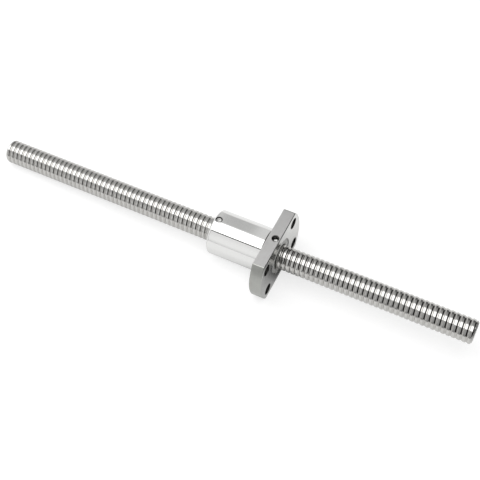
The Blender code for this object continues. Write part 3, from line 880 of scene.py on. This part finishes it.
def make_nut(finishes):
    """The nut's body and flange in one piece. The thread is cut last, so that no cut leaves scraps."""
    nut = solid("flanged_ball_nut", flange_blank())
    cut(nut, [barrel_blank()], "UNION")
    tools = [pocket_tool(REAR_X, -1), pocket_tool(FRONT_X, 1)]
    tools += [bolt_hole_tool(y, z) for y, z in bolt_places()]
    tools += [set_screw_hole_tool(x, surface_z) for x, surface_z in set_screw_places().values()]
    tools += [stadium(x, FIT_GAP, 0, BODY_RADIUS + CUT_MARGIN) for x in circuit_middles()]
    groove = groove_arch(BORE_RADIUS, 1)
    tools.append(threaded_rod(groove, GROOVE_AT_TOP, REAR_X, FRONT_X, NUT_THREAD_COLUMNS))
    cut(nut, tools)

    def finish_of(middle, normal):
        return NUT_FINISHES.index(nut_finish(middle, normal))

    dress(nut, [finishes[name] for name in NUT_FINISHES], "nut", "ball_nut", finish_of)


# Pieces in the nut


def make_wiper(name, seat_x, facing, finishes):
    """A wiper ring in its counterbore. facing is 1 when its open face looks towards +X."""
    length = WIPER_LENGTH
    key_floor = WIPER_RADIUS - WIPER_KEY_DEPTH
    key_middle = POCKET_DEPTH - FIT_GAP - SET_SCREW_INSET
    edge = quarter_round(WIPER_EDGE, steps=3)
    profile = [(0, WIPER_BORE), (0, WIPER_RADIUS - WIPER_EDGE), (WIPER_EDGE, WIPER_RADIUS)]
    for side, floor_first in ((-1, False), (1, True)):
        x = key_middle + side * WIPER_KEY_HALF_WIDTH
        pair = [(x, WIPER_RADIUS), (x, key_floor)]
        profile += reversed(pair) if floor_first else pair
    profile += [(length - along, WIPER_RADIUS - inset) for along, inset in reversed(edge)]
    profile += [(length - along, WIPER_BORE + inset) for along, inset in edge]
    placed = [(seat_x + facing * (FIT_GAP + x), radius) for x, radius in profile]
    wiper = solid(f"{name}_ring", turned(placed, closed=True))
    dress(wiper, [finishes["resin"]], "wipers", name)


def make_set_screw(name, x, finishes):
    """A dog-point set screw with a hexagon socket, as tall as its CAD node."""
    radius, edge = SET_SCREW_RADIUS, SET_SCREW_EDGE
    node_low, node_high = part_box(name)
    tip_z, top_z = node_low.z, node_high.z
    heights = [
        (tip_z, SET_SCREW_POINT_RADIUS - SMALL_EDGE),
        (tip_z + SMALL_EDGE, SET_SCREW_POINT_RADIUS),
        (SET_SCREW_SHOULDER_Z, SET_SCREW_POINT_RADIUS),
        (SET_SCREW_SHOULDER_Z, radius - edge),
        (SET_SCREW_SHOULDER_Z + edge, radius),
        (top_z - edge, radius),
        (top_z, radius - edge),
    ]
    outside = [round_section(x, z, size, SMALL_SEGMENTS) for z, size in heights]
    screw = solid(f"{name}_m2_5", lofted(outside))
    depths = (top_z - SOCKET_DEPTH, top_z + CUT_MARGIN)
    socket = lofted([round_section(x, z, SOCKET_RADIUS, 6) for z in depths])
    mouth = [(top_z + side * SMALL_EDGE, SOCKET_RADIUS + side * SMALL_EDGE) for side in (-1, 1)]
    countersink = lofted([round_section(x, z, size, SMALL_SEGMENTS) for z, size in mouth])
    cut(screw, [socket, countersink])
    dress(screw, [finishes["set_screw"]], "nut", name)


def smooth_step(share):
    """A share from 0 to 1 that starts and ends gently."""
    share = min(max(share, 0.0), 1.0)
    return share * share * (3 - 2 * share)


def ball_path(angle, circuit_x):
    """Where a ball's centre is at this angle from the deflector, in one closed circuit.

    Outside the crossing the ball follows the helix. In the crossing it steps back one pitch over
    the land between two turns, lifted clear of the shaft.
    """
    if angle >= CROSSING_HALF_ANGLE:
        x = circuit_x + LEAD * (angle - math.pi) / (2 * math.pi)
        return on_circle(x, BALL_CENTRE_RADIUS, DEFLECTOR_ANGLE + angle)
    share = max(0.0, (angle + CROSSING_HALF_ANGLE) / (2 * CROSSING_HALF_ANGLE))
    x = circuit_x + LEAD * (angle + math.pi) / (2 * math.pi) - LEAD * smooth_step(share)
    lift = CROSSING_LIFT * smooth_step(min(share, 1 - share) / CROSSING_LIFT_SHARE)
    return on_circle(x, BALL_CENTRE_RADIUS + lift, DEFLECTOR_ANGLE + angle)


def return_groove(circuit_x):
    """The S-shaped channel in a deflector, running out past both of its ends."""
    reach = 2 * CROSSING_HALF_ANGLE
    points = []
    for step in range(RETURN_STEPS + 1):
        angle = -reach + 2 * reach * step / RETURN_STEPS
        before_crossing = angle < -CROSSING_HALF_ANGLE
        points.append(ball_path(angle + 2 * math.pi if before_crossing else angle, circuit_x))
    return swept(points, BALL_RADIUS + RETURN_CLEARANCE, RETURN_SIDES)


def make_deflector(number, circuit_x, finishes):
    """An oval deflector, flush with the nut's body and bore, with its return groove."""
    deflector = solid(f"deflector_{number}", stadium(circuit_x, 0, 0, BODY_RADIUS + CUT_MARGIN))
    low_x, high_x = circuit_x - DEFLECTOR_WIDTH, circuit_x + DEFLECTOR_WIDTH
    wall = [(low_x, BORE_RADIUS), (low_x, BODY_RADIUS), (high_x, BODY_RADIUS), (high_x, BORE_RADIUS)]
    cut(deflector, [turned(wall, closed=True)], "INTERSECT")
    cut(deflector, [return_groove(circuit_x)])
    dress(deflector, [finishes["sintered"]], "nut", f"return_deflector_{number}")


def make_balls(number, circuit_x, finishes):
    """One circuit's balls, evenly spaced along their closed path."""
    angles = np.linspace(-CROSSING_HALF_ANGLE, 2 * math.pi - CROSSING_HALF_ANGLE, PATH_SAMPLES)
    dense = np.array([ball_path(angle, circuit_x) for angle in angles])
    travelled = np.concatenate([[0], np.cumsum(np.linalg.norm(np.diff(dense, axis=0), axis=1))])
    bm = bmesh.new()
    for ball in range(BALLS_IN_CIRCUIT):
        angle = np.interp((ball + 0.5) * travelled[-1] / BALLS_IN_CIRCUIT, travelled, angles)
        made = bmesh.ops.create_icosphere(bm, subdivisions=3, radius=BALL_RADIUS)
        bmesh.ops.translate(bm, verts=made["verts"], vec=ball_path(angle, circuit_x))
    balls = solid(f"balls_{number}", bm)
    dress(balls, [finishes["balls"]], "nut", f"ball_circuit_{number}")


# Studio


def make_camera():
    """The camera that was fitted to the photograph."""
    toward = Vector((
        math.sin(CAMERA_AZIMUTH) * math.cos(CAMERA_ELEVATION),
        -math.cos(CAMERA_AZIMUTH) * math.cos(CAMERA_ELEVATION),
        math.sin(CAMERA_ELEVATION),
    ))
    data = bpy.data.cameras.new("camera")
    data.sensor_width = SENSOR_WIDTH
    data.lens = LENS
    data.clip_start = 0.01
    data.clip_end = 20
    camera = bpy.data.objects.new("camera", data)
    camera.location = CAMERA_TARGET + toward * CAMERA_DISTANCE
    camera.rotation_mode = "QUATERNION"
    camera.rotation_quaternion = (-toward).to_track_quat("-Z", "Y") @ Quaternion((0, 0, 1), CAMERA_ROLL)
    bpy.context.scene.collection.objects.link(camera)
    bpy.context.scene.camera = camera


def background_mask(tree):
    """1 for the rays that see the background: from the camera, and from metal and glass."""
    rays = add_node(tree, "ShaderNodeLightPath").outputs
    either = calculate(tree, "MAXIMUM", rays["Is Camera Ray"], rays["Is Glossy Ray"])
    return calculate(tree, "MAXIMUM", either, rays["Is Transmission Ray"])


def make_world():
    """A white studio, which lights the part a little less than it shows."""
    world = bpy.data.worlds.new("white_studio")
    world.use_nodes = True
    tree = world.node_tree
    background = tree.nodes["Background"]
    background.inputs["Color"].default_value = (1, 1, 1, 1)
    strength = remap(tree, background_mask(tree), 0, 1, WORLD_LIGHT, 1)
    tree.links.new(strength, background.inputs["Strength"])
    bpy.context.scene.world = world


def table_place():
    """How far the table top leans in the part's frame, and where the flange's edge stands on it."""
    seat = Vector((SEAT_X + FLANGE_EDGE_CHAMFER, 0, -FLANGE_HALF_HEIGHT))
    heel = Vector((SHAFT_END_CHAMFER - SHAFT_HALF_LENGTH, 0, -LAND_RADIUS))
    return math.atan2(heel.z - seat.z, seat.x - heel.x), seat


def make_floor(lean, seat):
    """A pale table top. The part lies on its flange's lower flat and on the far end of the shaft."""
    bm = bmesh.new()
    bmesh.ops.create_circle(bm, cap_ends=True, segments=128, radius=FLOOR_RADIUS)
    floor = solid("floor", bm)
    floor.rotation_euler = (0, lean, 0)
    floor.location = seat
    material, tree = bare_material("pale_table_top")
    position = object_place(tree)
    cloud = add_node(tree, "ShaderNodeTexNoise", {"Vector": position, "Scale": 30.0, "Detail": 3.0})
    tone = remap(tree, cloud.outputs[0], 0.3, 0.7, 0.985, 1.0)
    colour = multiply_colour(tree, (FLOOR_GREY, FLOOR_GREY, FLOOR_GREY, 1), tone)
    matt = add_node(tree, "ShaderNodeBsdfDiffuse", {"Color": colour})
    # Painted shadow: the glow that the metal sees is dimmed by ambient occlusion near the part; the camera
    # sees it in full.
    shadow_occlusion = add_node(tree, "ShaderNodeAmbientOcclusion", {"Distance": PAINTED_SHADOW_DISTANCE}, samples=8)
    seen = add_node(tree, "ShaderNodeLightPath").outputs["Is Camera Ray"]
    unshadowed_share = calculate(tree, "MAXIMUM", seen, calculate(tree, "POWER", shadow_occlusion.outputs["AO"], PAINTED_SHADOW_POWER))
    shown = calculate(tree, "MULTIPLY", background_mask(tree), unshadowed_share)
    strength = calculate(tree, "MULTIPLY", shown, FLOOR_GLOW)
    glow = add_node(tree, "ShaderNodeEmission", {"Strength": strength})
    lit = add_node(tree, "ShaderNodeAddShader", {0: matt.outputs[0], 1: glow.outputs[0]})
    clear = add_node(tree, "ShaderNodeBsdfTransparent")
    below = add_node(tree, "ShaderNodeNewGeometry").outputs["Backfacing"]
    either = add_node(tree, "ShaderNodeMixShader", {0: below, 1: lit.outputs[0], 2: clear.outputs[0]})
    add_node(tree, "ShaderNodeOutputMaterial", {"Surface": either.outputs[0]})
    floor.data.materials.append(material)


def make_softbox():
    """The long soft light overhead, which draws the bright band along the shaft and the body."""
    data = bpy.data.lights.new("softbox", "AREA")
    data.shape = "RECTANGLE"
    data.size = SOFTBOX_LENGTH
    data.size_y = SOFTBOX_WIDTH
    data.energy = SOFTBOX_GLOW * math.pi * SOFTBOX_WIDTH * SOFTBOX_LENGTH
    light = bpy.data.objects.new("softbox", data)
    light.location = on_circle(SOFTBOX_X, SOFTBOX_DISTANCE, SOFTBOX_ANGLE)
    light.rotation_euler = (SOFTBOX_ANGLE, 0, 0)
    light.visible_camera = False
    bpy.context.scene.collection.objects.link(light)


def reflected_only(obj):
    """Leaves a studio piece to be seen in the metal alone: it lights nothing and casts no shadow."""
    obj.visible_camera = False
    obj.visible_diffuse = False
    obj.visible_transmission = False
    obj.visible_shadow = False


def glow_material(name, strength):
    """A plain lit card. strength is a number, or a function that makes a socket in the material's tree."""
    material, tree = bare_material(name)
    level = strength(tree) if callable(strength) else strength
    glow = add_node(tree, "ShaderNodeEmission", {"Color": (1, 1, 1, 1), "Strength": level})
    add_node(tree, "ShaderNodeOutputMaterial", {"Surface": glow.outputs[0]})
    return material


def contact_shade(tree):
    """The shadow on the table under the shaft, which fades out towards the front. Places are in mm."""
    across = add_node(tree, "ShaderNodeSeparateXYZ", {0: object_place(tree)}).outputs["Y"]
    levels = ((-16, 0.62), (-10, 0.55), (-6.5, 0.42), (-3.3, 0.17), (-1, 0.07), (6, 0.05))
    return grey_ramp(tree, across, levels, MM)


def make_card(name, corners, strength):
    """A flat lit card that only the metal shows."""
    bm = bmesh.new()
    bm.faces.new([bm.verts.new(corner) for corner in corners])
    card = solid(name, bm)
    card.data.materials.append(glow_material(name, strength))
    reflected_only(card)


def level_by_angle(levels, round_place):
    """A brightness that runs from level to level with the angle about the shaft, in degrees."""
    def build(tree):
        turn = use_group(tree, round_place, Position=object_place(tree))["Turn"]
        return grey_ramp(tree, turn, levels, math.radians(1))
    return build


def tent_wall(name, x_ends, levels, round_place, radius=TENT_RADIUS):
    """One wall of the light tent, curved about the shaft, as bright at each angle as its levels say."""
    low, high = levels[0][0], levels[-1][0]
    bm = bmesh.new()
    rows = []
    for step in range(TENT_STEPS + 1):
        angle = math.radians(low + (high - low) * step / TENT_STEPS)
        rows.append([bm.verts.new(on_circle(x, radius, angle)) for x in x_ends])
    for row, after in zip(rows, rows[1:]):
        bm.faces.new((row[0], row[1], after[1], after[0]))
    wall = solid(name, bm)
    wall.data.materials.append(glow_material(name, level_by_angle(levels, round_place)))
    reflected_only(wall)


def make_tent(round_place):
    """The tent's walls from left to right, each with its brightness at angles about the shaft.

    An angle is below 0 behind the shaft and above 0 in front of it, and 90 is at table height.
    """
    back = {
        "past_left": [(-89, 0.95), (-21, 0.95)],
        "far_left": [(-89, 0.75), (-72, 0.55), (-48, 0.56), (-30, 0.78), (-21, 0.86)],
        "nut": [(-89, 0.86), (-21, 0.86)],
        "right": [(-89, 0.48), (-70, 0.28), (-50, 0.54), (-30, 0.80), (-21, 0.84)],
        "far_right": [(-89, 0.24), (-70, 0.14), (-50, 0.42), (-30, 0.50), (-21, 0.54)],
        "past_right": [(-89, 0.05), (-21, 0.05)],
    }
    front = {
        "past_left": [(31, 0.85), (92, 0.85)],
        "far_left": [(31, 0.60), (50, 0.62), (66, 0.90), (76, 0.90), (86, 0.62), (92, 0.60)],
        "nut": [(36.7, 0.98), (60, 1.1), (76, 1.1), (88, 0.92)],
        "right": [(30, 0.60), (50, 0.66), (70, 0.72), (86, 0.54), (92, 0.50)],
        "far_right": [(30, 0.50), (50, 0.50), (70, 0.50), (86, 0.38), (92, 0.36)],
        "past_right": [(30, 0.05), (92, 0.05)],
    }
    for side, ends, walls in (("back", BACK_WALL_ENDS, back), ("front", FRONT_WALL_ENDS, front)):
        for (name, levels), low_x, high_x in zip(walls.items(), ends, ends[1:]):
            tent_wall(f"tent_{side}_{name}", (low_x, high_x), levels, round_place)


def make_lines(round_place):
    """The two thin lines and the grey patch that the ground body shows."""
    tent_wall("rail", NUT_WALL_ENDS, [(31.9, 0.02), (36.7, 0.02)], round_place)
    tent_wall("patch", PATCH_ENDS, [(-84, 0.61), (-21, 0.61)], round_place, PATCH_RADIUS)
    tent_wall("horizon", NUT_WALL_ENDS, [(88.5, 0.70), (90.5, 0.70)], round_place)


def make_end_panels():
    """A bright panel past the shaft's left end, and black ones past its right end, tall and low.

    Each has its place along the shaft, half width, top and strength.
    """
    panels = {
        "left_panel": (-0.92, 0.7, 0.60, 1.5),
        "right_flag": (0.40, 0.8, 0.68, 0.02),
        "low_right_flag": (0.15, 0.4, 0.10, 0.02),
    }
    for name, (x, half, top, strength) in panels.items():
        corners = [(x, -half, PANEL_FOOT), (x, half, PANEL_FOOT), (x, half, top), (x, -half, top)]
        make_card(name, corners, strength)


def make_table_ends(lean, seat):
    """Where the white table ends in front of the shaft, and the flange's shadow, as the metal shows them."""
    front_left = [(-0.90, -0.50), (-0.175, -0.50), (-0.036, -0.085), (-0.90, -0.085)]
    front_right = [(-0.09, -0.50), (0.41, -0.50), (0.41, -0.085), (0.008, -0.085)]
    under_shaft = [(0.0236, -0.016), (0.0315, -0.016), (0.0315, 0.006), (0.0236, 0.006)]
    strips = (
        ("table_end_front_left", front_left, 0.60),
        ("table_end_front_right", front_right, 0.40),
        ("shade_under_shaft", under_shaft, contact_shade),
    )
    for name, places, strength in strips:
        corners = [(x, y, seat.z - math.tan(lean) * (x - seat.x) + CARD_LIFT) for x, y in places]
        make_card(name, corners, strength)


bpy.context.scene.view_settings.view_transform = "Standard"
groups = make_groups()
finishes = make_finishes(groups)
make_shaft(finishes)
make_nut(finishes)
make_wiper("front_wiper", FRONT_X - POCKET_DEPTH, 1, finishes)
make_wiper("rear_wiper", REAR_X + POCKET_DEPTH, -1, finishes)
for screw_name, (screw_x, _surface_z) in set_screw_places().items():
    make_set_screw(screw_name, screw_x, finishes)
for circuit, middle_x in zip(CIRCUITS, circuit_middles()):
    make_deflector(circuit, middle_x, finishes)
    make_balls(circuit, middle_x, finishes)
make_camera()
make_world()
make_floor(*table_place())
make_softbox()
make_tent(groups["round_place"])
make_lines(groups["round_place"])
make_end_panels()
make_table_ends(*table_place())
